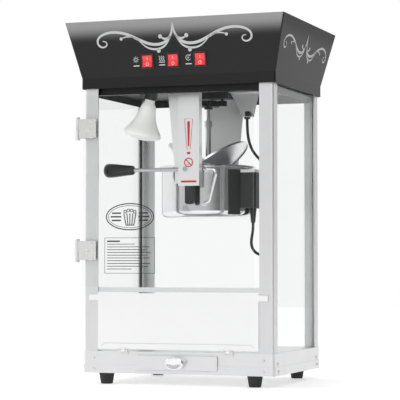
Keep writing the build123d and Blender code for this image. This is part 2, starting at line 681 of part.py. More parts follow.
def at_kettle(shape):
    """A shape made about the kettle's own axis, put where the kettle hangs."""
    return Pos(0, KETTLE_Y, 0) * shape


def make_kettle():
    """The kettle: polished jacket, inner pan with a rolled rim, and the heater between them."""
    jacket = rod_z(0, 0, KETTLE_BOTTOM, JACKET_TOP, KETTLE_R)
    jacket = fillet(jacket.edges().sort_by(Axis.Z)[0], 14)
    room = rod_z(0, 0, KETTLE_BOTTOM + SHEET, JACKET_TOP + 20, KETTLE_R - SHEET)
    room = fillet(room.edges().sort_by(Axis.Z)[0], 14 - SHEET)
    keep("kettle_jacket", at_kettle(jacket - room))
    pan = rod_z(0, 0, PAN_FLOOR, JACKET_TOP + SHEET, PAN_R)
    pan = fillet(pan.edges().sort_by(Axis.Z)[0], 10)
    hollow = rod_z(0, 0, PAN_FLOOR + PAN_T, KETTLE_RIM + 5, PAN_R - PAN_T)
    hollow = fillet(hollow.edges().sort_by(Axis.Z)[0], 10 - PAN_T)
    rim = rod_z(0, 0, JACKET_TOP, KETTLE_RIM, RIM_R)
    rim = fillet(rim.edges().sort_by(Axis.Z)[-1], 2.2)
    rim -= rod_z(0, 0, JACKET_TOP + SHEET, KETTLE_RIM + 1, RIM_R - 5)
    keep("kettle_pan", at_kettle(pan + rim - hollow))
    keep("kettle_insulation", at_kettle(rod_z(0, 0, KETTLE_BOTTOM + SHEET, 357, 84)))
    plate = rod_z(0, 0, 371, PAN_FLOOR, 80)
    ring = Pos(0, 0, 366.9) * Torus(60, 4)
    keep("kettle_heater", group([at_kettle(plate), at_kettle(ring)]))
    keep("thermostat", at_kettle(rod_z(0, 0, 358, 370.8, 11) + rod_z(0, 0, 357.2, 365, 15)))


BOX_X = 122.0
BOX_Y = (-20.0, 40.0)
BOX_Z = (366.0, 441.0)
BOOT = (107.0, 10.0, 336.0)


def make_terminal_box():
    """The black wiring box on the kettle's right side, with its plated cover, strap and cable boot."""
    wall = at_kettle(rod_z(0, 0, 300, 500, KETTLE_R + 0.05))
    body = block(84, BOX_X, *BOX_Y, *BOX_Z)
    body = fillet(body.edges().filter_by(Axis.Z).sort_by(Axis.X)[-2:], 4)
    room = block(104, BOX_X - 2, BOX_Y[0] + 2, BOX_Y[1] - 2, BOX_Z[0] + 2, BOX_Z[1] + 1)
    strap = rod_z(0, 0, 352, BOX_Z[1] + 6, KETTLE_R + 2) - rod_z(0, 0, 300, 500, KETTLE_R + 0.05)
    strap = at_kettle(strap) & block(60, 110, -44, BOX_Y[0] - 1.2, 340, 460)
    keep("terminal_box", group([body - wall - room, strap]))
    cover = block(84, BOX_X + 1, BOX_Y[0] - 1, BOX_Y[1] + 1, BOX_Z[1], BOX_Z[1] + 6)
    keep("terminal_box_cover", fillet(cover.edges().filter_by(Axis.Z).sort_by(Axis.X)[-2:], 4) - wall)
    keep("terminal_block", block(107, 117, -2, 22, BOX_Z[0] + 2, 386))
    x, y, z = BOOT
    keep("lead_boot", Pos(x, y, (z + BOX_Z[0]) / 2) * Cone(5.2, 8, BOX_Z[0] - z))


PAD_HALF = 17.0
PAD_T = 4.0
PAD_Z = (416.0, 450.0)
WIRE_R = 3.4
WIRE_OUT = 14.0
WIRE_SPOTS = [(30, 446), (60, 446), (42, 378), (28, 373)]
WIRE_BENDS = [7, 10, 7, 6]


def make_pivots():
    """The two pivot pins on their pads, and the chrome wire handle on the kettle's front."""
    wall = at_kettle(rod_z(0, 0, 300, 500, KETTLE_R + 0.05))
    front = KETTLE_Y - KETTLE_R
    back = KETTLE_Y + KETTLE_R
    front_pin = block(-PAD_HALF, PAD_HALF, front - PAD_T, front + 10, *PAD_Z) - wall
    front_pin += rod_y(0, PIVOT_Z, HANGER_Y - 4, front - 3, PIVOT_R)
    rear_pin = block(-PAD_HALF, PAD_HALF, back - 10, back + PAD_T, *PAD_Z) - wall
    rear_pin += rod_y(0, PIVOT_Z, back + 3, REAR_HANGER_Y + 9, PIVOT_R)
    keep("pivot_pins", group([front_pin, rear_pin]))
    y = front - WIRE_OUT
    spots = [(x, y, z) for x, z in WIRE_SPOTS]
    (x0, z0), (x1, z1) = WIRE_SPOTS[0], WIRE_SPOTS[-1]
    path = FilletPolyline((x0, front + 6, z0), *spots, (x1, front + 6, z1), radius=WIRE_BENDS)
    wire = sweep(Plane(path @ 0, z_dir=path % 0) * Circle(WIRE_R), path)
    keep("wire_handle", wire - wall)


HANDLE_Y = -103.0
ROD_R = 4.0
ROD_END_X = -152.0
GRIP_X = (-186.0, -119.0)
GRIP_R = (10.0, 15.0)
HUB_R = 10.0


def make_handle():
    """The tipping handle: a steel rod with a hub on the front pivot, and a tapered black grip."""
    hub = rod_y(0, PIVOT_Z, HANDLE_Y - 6, HANDLE_Y + 6, HUB_R)
    bar = rod_x(HANDLE_Y, PIVOT_Z, ROD_END_X, -6, ROD_R)
    keep("handle_rod", hub + bar - rod_y(0, PIVOT_Z, HANDLE_Y - 9, HANDLE_Y + 9, PIVOT_R))
    x0, x1 = GRIP_X
    grip = Pos((x0 + x1) / 2, HANDLE_Y, PIVOT_Z) * Rot(0, -90, 0) * Cone(*GRIP_R, x1 - x0)
    grip = fillet(grip.edges().filter_by(GeomType.CIRCLE), 4)
    keep("handle_grip", grip - rod_x(HANDLE_Y, PIVOT_Z, ROD_END_X, x1 + 5, ROD_R))


ROD_TOP = COUPLING_Z + 6
SLOT = 3.6
AGITATOR_R = 6.0
AGITATOR_HEAD_R = 8.0
BAR_HALF = 9.0
BAR_T = 3.0
BUSH_R = 9.5
KNUCKLE_OUT_R = 2.4
LID_PIN_R = 1.1
LID_R = 98.0
LID_T = 1.2
BLADE_REACH = 74.0


def make_crossbar():
    """The bar over the kettle's mouth that carries the lids' hinges and the agitator's bearing."""
    half = RIM_R - 3
    bar = block(-BAR_HALF, BAR_HALF, -half, half, KETTLE_RIM, KETTLE_RIM + BAR_T)
    bar += rod_z(0, 0, KETTLE_RIM - 10, KETTLE_RIM + 12, BUSH_R)
    pins = []
    for side in (-1, 1):
        x = side * LID_HINGE_X
        for y in (-82, 82):
            bar += rod_y(x, LID_HINGE_Z, y - 5, y + 5, KNUCKLE_OUT_R)
            bar += block(side * 8, x, y - 5, y + 5, KETTLE_RIM + 0.6, KETTLE_RIM + BAR_T)
        for y in (-74, 74):
            pins.append(at_kettle(rod_y(x, LID_HINGE_Z, y - 14, y + 14, LID_PIN_R)))
            bar -= rod_y(x, LID_HINGE_Z, y - 14, y + 14, LID_PIN_R + 0.03)
    bar -= rod_z(0, 0, 400, 500, AGITATOR_R + 0.06)
    keep("lid_crossbar", group([at_kettle(bar)] + pins))


def make_lids():
    """Two half lids hinged on the crossbar, held part open at rest; each has a turned-down edge."""
    for name, side in (("right", 1), ("left", -1)):
        x, z = side * LID_HINGE_X, LID_HINGE_Z
        disc = rod_z(0, 0, z - 2.6, z + LID_T, LID_R) - rod_z(0, 0, z - 3, z, LID_R - LID_T)
        lid = disc & block(side * (LID_HINGE_X + 2.6), side * 120, -LID_R - 1, LID_R + 1, z - 5, z + 5)
        for y in (-68, 68):
            lid += rod_y(x, z, y - 6, y + 6, KNUCKLE_OUT_R)
            lid += block(x, side * (LID_HINGE_X + 4), y - 6, y + 6, z, z + LID_T)
            lid -= rod_y(x, z, y - 8, y + 8, LID_PIN_R + 0.03)
        keep("lid_" + name, about((x, KETTLE_Y, z), -side * LID_REST, "y") * at_kettle(lid))


def make_agitator():
    """The stirring rod, slotted at its top for the drive's tongue, and its two bent blades."""
    bar = rod_z(0, 0, PAN_FLOOR + 3, ROD_TOP - 12, AGITATOR_R)
    bar += rod_z(0, 0, ROD_TOP - 14, ROD_TOP, AGITATOR_HEAD_R)
    bar -= block(-12, 12, -SLOT / 2, SLOT / 2, ROD_TOP - 7, ROD_TOP + 2)
    keep("agitator_rod", at_kettle(bar))
    hub = rod_z(0, 0, PAN_FLOOR + 3.5, PAN_FLOOR + 15, 10) - rod_z(0, 0, 300, 500, AGITATOR_R)
    for turn in (0, 180):
        arm = block(8, BLADE_REACH, -3, 3, PAN_FLOOR + 4, PAN_FLOOR + 7)
        tip = block(BLADE_REACH - 4, BLADE_REACH, -3, 3, PAN_FLOOR + 4, PAN_FLOOR + 26)
        fin = block(24, BLADE_REACH - 4, -3, -1.5, PAN_FLOOR + 6, PAN_FLOOR + 16)
        hub += Rot(0, 0, turn) * (arm + tip + fin)
    keep("agitator_blades", at_kettle(hub))


# ---- kettle lead ----
LEAD_ROUTE = [LEAD_TOP, (94, 10, 535), (97, 10, 510), (106, 10, 487), (120, 10, 471), (137, 11, 457),
              (148, 12, 435), (153, 12, 405), (156, 12, 372), (156, 12, 340), (155, 12, 312),
              (152, 12, 288), (145, 11, 274), (131, 10, 267), (116, 10, 269), (105, 10, 280),
              (102, 10, 296), (107, 10, 318), BOOT]


def bend_radii(points):
    """The largest even arc for each corner of a route, from its shorter run and its turn."""
    spots = [Vector(*p) for p in points]
    radii = []
    for before, here, after in zip(spots, spots[1:], spots[2:]):
        shorter = min((here - before).length, (after - here).length)
        turn = math.radians((here - before).get_angle(after - here))
        radii.append(0.45 * shorter / math.tan(turn / 2))
    return radii


def make_lead():
    """The kettle's heat-proof lead: it hangs in one loop from the ceiling bracket to the wiring box."""
    radii = bend_radii(LEAD_ROUTE)
    path = FilletPolyline(*LEAD_ROUTE, radius=radii)
    tube = sweep(Plane(path @ 0, z_dir=path % 0) * Circle(LEAD_D / 2), path)
    section = math.pi * (LEAD_D / 2) ** 2
    print("lead radii", [round(r) for r in radii], "length", round(path.length, 1))
    print("lead volume", round(tube.volume), "section x length", round(section * path.length))
    keep("kettle_lead", tube)


def main():
    """Makes every piece and writes one file for each node."""
    os.makedirs("parts", exist_ok=True)
    for make in (make_feet, make_base, make_deck, make_base_inside, make_gland, make_drawer, make_posts,
                 make_glass, make_rails, make_door, make_fixed_hinge_parts, make_canopy, make_switches,
                 make_drive, make_lamp, make_outlet, make_hangers, make_kettle, make_terminal_box,
                 make_pivots, make_handle, make_crossbar, make_lids, make_agitator, make_lead):
        make()
    for name, shape in NODES.items():
        export_step(shape, f"parts/{name}.step")
    print(len(NODES), "nodes")


main()
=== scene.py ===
from math import cos, pi, radians, sin, tau

import bmesh
import bpy
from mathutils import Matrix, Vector


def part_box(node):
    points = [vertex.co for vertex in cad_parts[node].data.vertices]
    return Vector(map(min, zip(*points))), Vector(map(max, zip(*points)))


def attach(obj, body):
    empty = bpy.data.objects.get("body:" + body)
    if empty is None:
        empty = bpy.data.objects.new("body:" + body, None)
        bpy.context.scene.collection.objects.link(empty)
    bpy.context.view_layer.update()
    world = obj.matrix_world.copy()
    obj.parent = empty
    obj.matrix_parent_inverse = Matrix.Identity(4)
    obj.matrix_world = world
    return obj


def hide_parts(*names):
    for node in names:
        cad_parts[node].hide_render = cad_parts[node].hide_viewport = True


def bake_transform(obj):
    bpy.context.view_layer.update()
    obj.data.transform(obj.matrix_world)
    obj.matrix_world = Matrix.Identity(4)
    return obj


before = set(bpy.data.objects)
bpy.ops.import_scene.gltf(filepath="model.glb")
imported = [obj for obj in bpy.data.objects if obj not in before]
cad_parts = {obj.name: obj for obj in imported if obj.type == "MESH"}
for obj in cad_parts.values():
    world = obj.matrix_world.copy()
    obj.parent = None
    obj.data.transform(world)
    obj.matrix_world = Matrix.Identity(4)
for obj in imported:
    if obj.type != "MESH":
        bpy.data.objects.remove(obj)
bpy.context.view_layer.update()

# The camera stands low, in front of the cabinet and to its right. It looks slightly upwards
# with a long lens, so the uprights stay almost parallel.
CAMERA_STAND = (1.240, -3.432, 0.248)
CAMERA_TURN = (radians(92.144), 0.0, radians(20.0))
camera = bpy.data.objects.new("camera", bpy.data.cameras.new("camera"))
camera.data.lens = 153.9
camera.data.sensor_width = 36.0
camera.location = CAMERA_STAND
camera.rotation_euler = CAMERA_TURN
bpy.context.scene.collection.objects.link(camera)
bpy.context.scene.camera = camera


# The kettle lead: a round rubber covered flex from the gland under the canopy to the boot below
# the kettle's terminal box. It hangs limp, with spare length so that the kettle can tip. Its
# low bend swings out with the kettle, though, and cuts through the pieces beside it.
LEAD_THICKNESS = 0.006
LEAD_ROUTE = [
    (0.094, 0.010, 0.556), (0.094, 0.010, 0.535), (0.097, 0.010, 0.510), (0.106, 0.010, 0.487),
    (0.120, 0.010, 0.471), (0.137, 0.011, 0.457), (0.148, 0.012, 0.435), (0.153, 0.012, 0.405),
    (0.156, 0.012, 0.372), (0.156, 0.012, 0.340), (0.155, 0.012, 0.312), (0.152, 0.012, 0.288),
    (0.145, 0.011, 0.274), (0.131, 0.010, 0.267), (0.116, 0.010, 0.269), (0.105, 0.010, 0.280),
    (0.102, 0.010, 0.296), (0.107, 0.010, 0.318), (0.107, 0.010, 0.336),
]


class Wire:
    """One output socket of a finish's nodes, so that sums on it are written as plain sums."""

    def __init__(self, tree, socket=None):
        self.tree = tree
        self.socket = socket

    def node(self, kind, inputs, output=0, **settings):
        """Adds one node: its settings first, then the values or wires of its inputs."""
        made = self.tree.nodes.new(kind)
        for key, value in settings.items():
            if key == "stops":
                ramp = made.color_ramp.elements
                while len(ramp) < len(value):
                    ramp.new(1.0)
                for stop, (place, colour) in zip(ramp, value):
                    stop.position = place
                    stop.color = colour
            else:
                setattr(made, key, value)
        for key, value in inputs.items():
            if isinstance(value, Wire):
                self.tree.links.new(value.socket, made.inputs[key])
            else:
                made.inputs[key].default_value = value
        return Wire(self.tree, None if output is None else made.outputs[output])

    def sum(self, operation, first, second):
        return self.node("ShaderNodeMath", {0: first, 1: second}, operation=operation)

    def __add__(self, other):
        return self.sum("ADD", self, other)

    def __radd__(self, other):
        return self.sum("ADD", other, self)

    def __sub__(self, other):
        return self.sum("SUBTRACT", self, other)

    def __rsub__(self, other):
        return self.sum("SUBTRACT", other, self)

    def __mul__(self, other):
        return self.sum("MULTIPLY", self, other)

    def __rmul__(self, other):
        return self.sum("MULTIPLY", other, self)

    def __pow__(self, other):
        return self.sum("POWER", self, other)

    def stretched(self, x, y, z):
        """The same place on the surface, with each direction scaled."""
        return self.node("ShaderNodeVectorMath", {0: self, 1: (x, y, z)}, operation="MULTIPLY")

    def speckle(self, size, detail=3.0, roughness=0.55):
        """Even cloudy noise from 0 to 1 with patches about as large as size, in metres."""
        inputs = {"Vector": self, "Scale": 1.0 / size, "Detail": detail, "Roughness": roughness}
        return self.node("ShaderNodeTexNoise", inputs)

    def blend(self, low, high):
        """A colour between two, as this value goes from 0 to 1."""
        inputs = {0: self, 6: (*low, 1.0), 7: (*high, 1.0)}
        return self.node("ShaderNodeMix", inputs, output=2, data_type="RGBA")

    def bumps(self, height, **more):
        """The normal of a surface that this value raises by up to height, in metres."""
        inputs = {"Height": self, "Distance": height, "Strength": 1.0, **more}
        return self.node("ShaderNodeBump", inputs)


def start_finish(name):
    """A new finish, and the wire that carries the place on the piece."""
    finish = bpy.data.materials.new(name)
    finish.use_nodes = True
    finish.node_tree.nodes.clear()
    return finish, Wire(finish.node_tree).node("ShaderNodeTexCoord", {}, output="Object")


def show_shader(finish, shader):
    """Puts the finished shader on the surface."""
    shader.node("ShaderNodeOutputMaterial", {"Surface": shader}, output=None)
    return finish


def close_finish(finish, **inputs):
    """Ends a finish with the shader that takes these inputs."""
    start = Wire(finish.node_tree)
    named = {key.replace("_", " "): value for key, value in inputs.items()}
    shader = start.node("ShaderNodeBsdfPrincipled", named)
    return show_shader(finish, shader)


def line_through(name, points):
    """A smooth NURBS line with these control points, as a curve."""
    line = bpy.data.curves.new(name, "CURVE")
    line.dimensions = "3D"
    line.resolution_u = 8
    spline = line.splines.new("NURBS")
    spline.points.add(len(points) - 1)
    for point, place in zip(spline.points, points):
        point.co = (*place, 1.0)
    spline.order_u = 3
    spline.use_endpoint_u = True
    return line


def places_along(name, points):
    """Close points read from the smooth line with these control points."""
    line = line_through(name, points)
    holder = bpy.data.objects.new(name, line)
    read = bpy.data.meshes.new_from_object(holder)
    places = [vertex.co.copy() for vertex in read.vertices]
    bpy.data.objects.remove(holder)
    bpy.data.meshes.remove(read)
    bpy.data.curves.remove(line)
    return places


def new_piece(name, points, faces, finish, smooth=True):
    """A piece from its points and faces, in one finish."""
    mesh = bpy.data.meshes.new(name)
    mesh.from_pydata(points, [], faces)
    mesh.materials.append(finish)
    mesh.polygons.foreach_set("use_smooth", [smooth] * len(mesh.polygons))
    mesh.update()
    made = bpy.data.objects.new(name, mesh)
    bpy.context.scene.collection.objects.link(made)
    return made


def skin(rings, sides):
    """The faces between neighbouring rings of points."""
    faces = []
    for ring in range(rings - 1):
        for step in range(sides):
            low = ring * sides
            after = (step + 1) % sides
            faces.append((low + step, low + after, low + sides + after, low + sides + step))
    return faces


def tube(name, places, radii, finish, sides=16):
    """A round tube along these places, one radius for each, with closed ends."""
    points = []
    along = (places[1] - places[0]).normalized()
    side = along.orthogonal().normalized()
    last = len(places) - 1
    for index, place in enumerate(places):
        following = (places[min(index + 1, last)] - places[max(index - 1, 0)]).normalized()
        side = (side - following * side.dot(following)).normalized()
        other = following.cross(side)
        for step in range(sides):
            angle = tau * step / sides
            points.append(place + (side * cos(angle) + other * sin(angle)) * radii[index])
    faces = skin(len(places), sides)
    faces.append(tuple(reversed(range(sides))))
    faces.append(tuple(range(last * sides, (last + 1) * sides)))
    return new_piece(name, points, faces, finish)


finish, place = start_finish("lead_rubber")
grain = place.speckle(0.0008)
lead_rubber = close_finish(
    finish,
    Base_Color=place.speckle(0.02).blend((0.012, 0.012, 0.013), (0.024, 0.024, 0.025)),
    Roughness=0.42 + grain * 0.2,
    Normal=grain.bumps(0.00005),
)
lead_places = places_along("lead_line", LEAD_ROUTE)
kettle_lead = tube(
    "kettle_lead_flex", lead_places, [LEAD_THICKNESS / 2] * len(lead_places), lead_rubber
)
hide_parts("kettle_lead")
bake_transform(kettle_lead)


# The room: a plain pale floor that runs back to a white studio, with soft lamps above and
# in front. It isn't part of the object.
FLOOR_REACH = 6.0
FLOOR_GLOW = 0.34
DIM_AHEAD = 0.62
DARK_ON_RIGHT = 0.85
LAMP_AIM = (0.0, 0.0, 0.4)
finish, place = start_finish("studio_floor")
studio_floor = close_finish(
    finish,
    Base_Color=place.speckle(0.4).blend((0.90, 0.90, 0.90), (0.93, 0.93, 0.93)),
    Roughness=0.55 + place.speckle(0.05) * 0.1,
    Emission_Color=(1.0, 1.0, 1.0, 1.0),
    Emission_Strength=FLOOR_GLOW,
)
floor = new_piece(
    "studio_floor",
    [(-FLOOR_REACH, -FLOOR_REACH, 0), (FLOOR_REACH, -FLOOR_REACH, 0),
     (FLOOR_REACH, FLOOR_REACH, 0), (-FLOOR_REACH, FLOOR_REACH, 0)],
    [(0, 1, 2, 3)], studio_floor,
)

studio = bpy.data.worlds.new("studio")
studio.use_nodes = True
studio.node_tree.nodes.clear()
facing = Wire(studio.node_tree).node("ShaderNodeTexCoord", {}, output="Generated")
towards_back = facing.node("ShaderNodeSeparateXYZ", {"Vector": facing}, output="Y")
towards_right = facing.node("ShaderNodeSeparateXYZ", {"Vector": facing}, output="X")
ahead = facing.node("ShaderNodeMapRange", {
    "Value": towards_back, "From Min": -0.75, "From Max": -0.05, "To Min": DIM_AHEAD,
}, interpolation_type="SMOOTHSTEP")
shade = facing.node("ShaderNodeMapRange", {
    "Value": towards_right, "From Min": 0.15, "From Max": 0.80, "To Max": DARK_ON_RIGHT,
}, interpolation_type="SMOOTHSTEP")
brightness = ahead * (1.0 - shade)
sky = facing.node("ShaderNodeBackground", {
    "Color": brightness.blend((0.02, 0.02, 0.02), (1.0, 1.0, 1.0)), "Strength": 1.0,
})
facing.node("ShaderNodeOutputWorld", {"Surface": sky}, output=None)
bpy.context.scene.world = studio
bpy.context.scene.view_settings.view_transform = "Standard"


def soft_lamp(name, stand, size, power):
    """A large square lamp at stand that points at the cabinet."""
    lamp = bpy.data.lights.new(name, "AREA")
    lamp.energy = power
    lamp.size = size
    holder = bpy.data.objects.new(name, lamp)
    holder.location = stand
    holder.rotation_euler = (Vector(LAMP_AIM) - Vector(stand)).to_track_quat("-Z", "Y").to_euler()
    bpy.context.scene.collection.objects.link(holder)


soft_lamp("front_lamp", (0.6, -2.4, 1.9), size=1.4, power=16)
soft_lamp("left_lamp", (-2.2, -1.0, 1.3), size=1.2, power=6)


# The feet: four tapered moulded rubber feet, pushed up into the corners of the base pan and
# screwed from below. Each has a small rounded edge where it meets the table.
FOOT_CENTRES = [(x, y) for x in (-0.162, 0.162) for y in (-0.146, 0.146)]
FOOT_PROFILE = [
    (0.0095, 0.0030), (0.0095, 0.0), (0.0115, 0.0), (0.0125, 0.0012), (0.0133, 0.0060),
    (0.0148, 0.0150), (0.0158, 0.0215), (0.0162, 0.0236), (0.0, 0.0236),
]
POINT_RADIUS = 0.00001


def turned(name, profile, centre, along, finish, sides=48):
    """A turned shape: (radius, distance) pairs about a line from centre in a direction."""
    axis = Vector(along).normalized()
    across = axis.orthogonal().normalized()
    other = axis.cross(across)
    points = []
    for radius, distance in profile:
        for step in range(sides):
            angle = tau * step / sides
            out = (across * cos(angle) + other * sin(angle)) * max(radius, POINT_RADIUS)
            points.append(Vector(centre) + axis * distance + out)
    faces = skin(len(profile), sides)
    faces.append(tuple(reversed(range(sides))))
    faces.append(tuple(range(len(points) - sides, len(points))))
    made = new_piece(name, points, faces, finish)
    bent = bmesh.new()
    bent.from_mesh(made.data)
    bmesh.ops.recalc_face_normals(bent, faces=bent.faces)
    bent.to_mesh(made.data)
    bent.free()
    crease(made)
    return made


def crease(made, degrees=34.0):
    """Shades a piece smooth, with sharp edges where it turns by more than this."""
    bent = bmesh.new()
    bent.from_mesh(made.data)
    for edge in bent.edges:
        if len(edge.link_faces) == 2 and edge.calc_face_angle(0.0) > radians(degrees):
            edge.smooth = False
    bent.to_mesh(made.data)
    bent.free()


def joined(name, parts):
    """Several loose pieces as one piece."""
    mesh = parts[0].data
    bent = bmesh.new()
    for part in parts:
        bent.from_mesh(part.data)
    bent.to_mesh(mesh)
    bent.free()
    for part in parts[1:]:
        spare = part.data
        bpy.data.objects.remove(part)
        bpy.data.meshes.remove(spare)
    parts[0].name = name
    return parts[0]


finish, place = start_finish("foot_rubber")
grain = place.speckle(0.0006)
foot_rubber = close_finish(
    finish,
    Base_Color=place.speckle(0.008).blend((0.010, 0.010, 0.010), (0.022, 0.022, 0.021)),
    Roughness=0.55 + grain * 0.25,
    Normal=grain.bumps(0.0001),
)
feet = joined("rubber_feet", [
    turned("foot", FOOT_PROFILE, (x, y, 0.0), (0, 0, 1), foot_rubber) for x, y in FOOT_CENTRES
])
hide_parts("feet")
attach(feet, "root")


# The base: a pan folded from 1.2 mm stainless sheet with a brushed front, a turned hem round
# the foot, a flat deck on top and the perforated warmer plate over its heating element.
def dress(finish, *nodes):
    """Gives CAD nodes their finish."""
    for name in nodes:
        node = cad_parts[name]
        node.data.materials.clear()
        node.data.materials.append(finish)


def brushed(name, base, streak, grain_way, roughness=0.3, mirror=0.80, depth=0.00004):
    """Brushed sheet metal with fine scratches that run along one direction."""
    finish, place = start_finish(name)
    scratches = place.stretched(*grain_way).speckle(0.0011, detail=5.0, roughness=0.7)
    cloud = place.speckle(0.09)
    tone = scratches * 0.5 + cloud * 0.5
    return close_finish(
        finish,
        Base_Color=tone.blend(base, streak),
        Metallic=mirror,
        Roughness=roughness - 0.08 + scratches * 0.12 + place.speckle(0.012) * 0.04,
        Normal=scratches.bumps(depth),
    )


front_steel = brushed("brushed_steel", (0.72, 0.72, 0.73), (0.86, 0.86, 0.87), (0.02, 1.0, 1.0))
fold_steel = brushed(
    "plain_steel", (0.64, 0.64, 0.65), (0.78, 0.78, 0.79), (0.25, 0.25, 1.0), roughness=0.36
)
dress(front_steel, "base_pan", "front_cross_rail")
dress(fold_steel, "deck_plate", "drawer_runners")

finish, place = start_finish("warmer_element")
soot = place.speckle(0.006)
element_metal = close_finish(
    finish,
    Base_Color=soot.blend((0.10, 0.095, 0.09), (0.22, 0.21, 0.20)),
    Metallic=0.8,
    Roughness=0.42 + soot * 0.2,
    Normal=soot.bumps(0.0001),
)
dress(element_metal, "deck_warmer")

finish, place = start_finish("moulded_nylon")
grain = place.speckle(0.0007)
nylon = close_finish(
    finish,
    Base_Color=place.speckle(0.03).blend((0.011, 0.011, 0.012), (0.020, 0.020, 0.021)),
    Roughness=0.34 + grain * 0.2,
    Normal=grain.bumps(0.00006),
)
dress(nylon, "mains_gland", "lead_gland")


# The crumb drawer: a shallow folded tray with a plain brushed front, which slides out on two
# folded runners. Its knob is an oval of polished zinc, cast with a soft rim.
KNOB_CENTRE = (0.0, 0.046)
KNOB_HALF = (0.0205, 0.0135)
dress(front_steel, "drawer_front")
dress(fold_steel, "drawer_tray")

finish, place = start_finish("polished_zinc")
smear = place.speckle(0.004)
polished_zinc = close_finish(
    finish,
    Base_Color=smear.blend((0.80, 0.80, 0.81), (0.92, 0.92, 0.93)),
    Metallic=1.0,
    Roughness=0.10 + smear * 0.10,
    Normal=smear.bumps(0.00002),
)
dress(polished_zinc, "drawer_knob")


def oval_knob():
    """The knob's stem and its flat oval head with a rounded rim and a shallow dish."""
    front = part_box("drawer_knob")[0].y
    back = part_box("drawer_knob")[1].y
    profile = [
        (0.34, back), (0.34, front + 0.0085), (0.42, front + 0.0068), (0.93, front + 0.0064),
        (0.985, front + 0.0055), (1.0, front + 0.0040), (0.985, front + 0.0024),
        (0.94, front + 0.0010), (0.86, front + 0.0001), (0.78, front), (0.70, front + 0.0006),
        (0.55, front + 0.0011), (0.25, front + 0.0013), (0.0001, front + 0.0013),
    ]
    sides = 64
    points = []
    for share, depth in profile:
        for step in range(sides):
            angle = tau * step / sides
            points.append((KNOB_CENTRE[0] + share * KNOB_HALF[0] * cos(angle), depth,
                           KNOB_CENTRE[1] + share * KNOB_HALF[1] * sin(angle)))
    return new_piece("oval_drawer_knob", points, skin(len(profile), sides), polished_zinc)


knob = oval_knob()
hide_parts("drawer_knob")
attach(knob, "drawer")


# The corner posts and rails: four anodised aluminium angles that stand in the base pan and carry
# the canopy, with a folded steel rail across the front under the door.
finish, place = start_finish("satin_aluminium")
drawn = place.stretched(1.0, 1.0, 0.015).speckle(0.0013, detail=4.0, roughness=0.65)
aluminium = close_finish(
    finish,
    Base_Color=(drawn * 0.6 + place.speckle(0.12) * 0.4).blend(
        (0.68, 0.68, 0.69), (0.82, 0.82, 0.83)
    ),
    Metallic=0.82,
    Roughness=0.30 + drawn * 0.14,
    Normal=drawn.bumps(0.00003),
)
dress(aluminium, "corner_posts")


# The panes: 3 mm clear glass at both sides and at the back, which slide into the posts, and the
# 4 mm door pane with its rounded free corners. The cut edges are ground and look darker.
GRAZING_SHINE = 0.75


def clear_pane(name, tint, clearness):
    """Thin clear glass: it lets the light through and shines more at a low angle."""
    finish, place = start_finish(name)
    smear = place.speckle(0.07, detail=5.0)
    grazing = place.node("ShaderNodeLayerWeight", {"Blend": 0.5}, output="Facing")
    through = place.node("ShaderNodeBsdfTransparent", {"Color": (*tint, 1.0)})
    sheen = place.node("ShaderNodeBsdfPrincipled", {
        "Base Color": (0.93, 0.95, 0.945, 1.0),
        "Metallic": 1.0,
        "Roughness": 0.01 + smear * 0.04,
    })
    share = (grazing ** 5) * GRAZING_SHINE + (1.0 - clearness)
    mixed = place.node("ShaderNodeMixShader", {0: share, 1: through, 2: sheen})
    return show_shader(finish, mixed)


pane_glass = clear_pane("pane_glass", (0.982, 0.988, 0.985), 0.992)
dress(pane_glass, "side_glass", "glass_back", "door_glass")


# The door's hinges: four zinc plated leaves rolled round two steel pins, with button head screws.
# The glass is clamped to the door leaves; the other leaves are screwed to the left front post.
finish, place = start_finish("zinc_plate")
mottle = place.speckle(0.003)
zinc = close_finish(
    finish,
    Base_Color=mottle.blend((0.70, 0.70, 0.70), (0.86, 0.86, 0.85)),
    Metallic=0.9,
    Roughness=0.28 + mottle * 0.16,
    Normal=mottle.bumps(0.00001),
)
dress(
    zinc, "door_hinge_leaves", "fixed_hinge_leaves", "hinge_pins", "frame_screws",
    "door_hinge_screws",
)


# The door's two printed marks are black ink on the glass: a plain carton in an oval, and a ruled
# frame of short bars where a maker would print the use notes. Neither has any words.
INK_Y = -0.1702
INK_LIFT = 0.0002
MARK_CENTRE = (-0.1010, 0.3455)
CARTON_SIDE_BARS = ((0.0200, 0.0400), (0.0190, 0.0430), (0.0200, 0.0400))
NOTE_X = (-0.157, -0.046)
NOTE_Z = (0.229, 0.302)
NOTE_LINES = [0.62, 0.94, 0.88, 0.97, 0.90, 0.95, 0.71, 0.96, 0.92, 0.55]
NOTE_MARGIN = 0.005
NOTE_LINE_REACH = 0.100
NOTE_LINE_STEP = 0.0057


def on_door(x, z):
    """A place on the outside of the door pane, and the way out of it."""
    return Vector((x, INK_Y, z)), Vector((0.0, -1.0, 0.0))


def ribbon(name, line, widths, on_face, lift, finish):
    """A flat band laid on a face along (across, up) places, one width for each."""
    points = []
    faces = []
    last = len(line) - 1
    for index, (across, up) in enumerate(line):
        before = line[max(index - 1, 0)]
        after = line[min(index + 1, last)]
        way = Vector((after[0] - before[0], after[1] - before[1])).normalized()
        half = widths[index] / 2
        for hand in (-1, 1):
            place, out = on_face(across - hand * way.y * half, up + hand * way.x * half)
            points += [place, place + out * lift]
    for ring in range(last):
        low = ring * 4
        for start, end in ((0, 1), (1, 3), (3, 2), (2, 0)):
            faces.append((low + start, low + end, low + 4 + end, low + 4 + start))
    faces.append((0, 2, 3, 1))
    faces.append((last * 4, last * 4 + 1, last * 4 + 3, last * 4 + 2))
    return new_piece(name, points, faces, finish, smooth=False)


def bar(name, start, end, width, on_face, lift, finish):
    """A straight flat band between two places."""
    return ribbon(name, [start, end], [width, width], on_face, lift, finish)


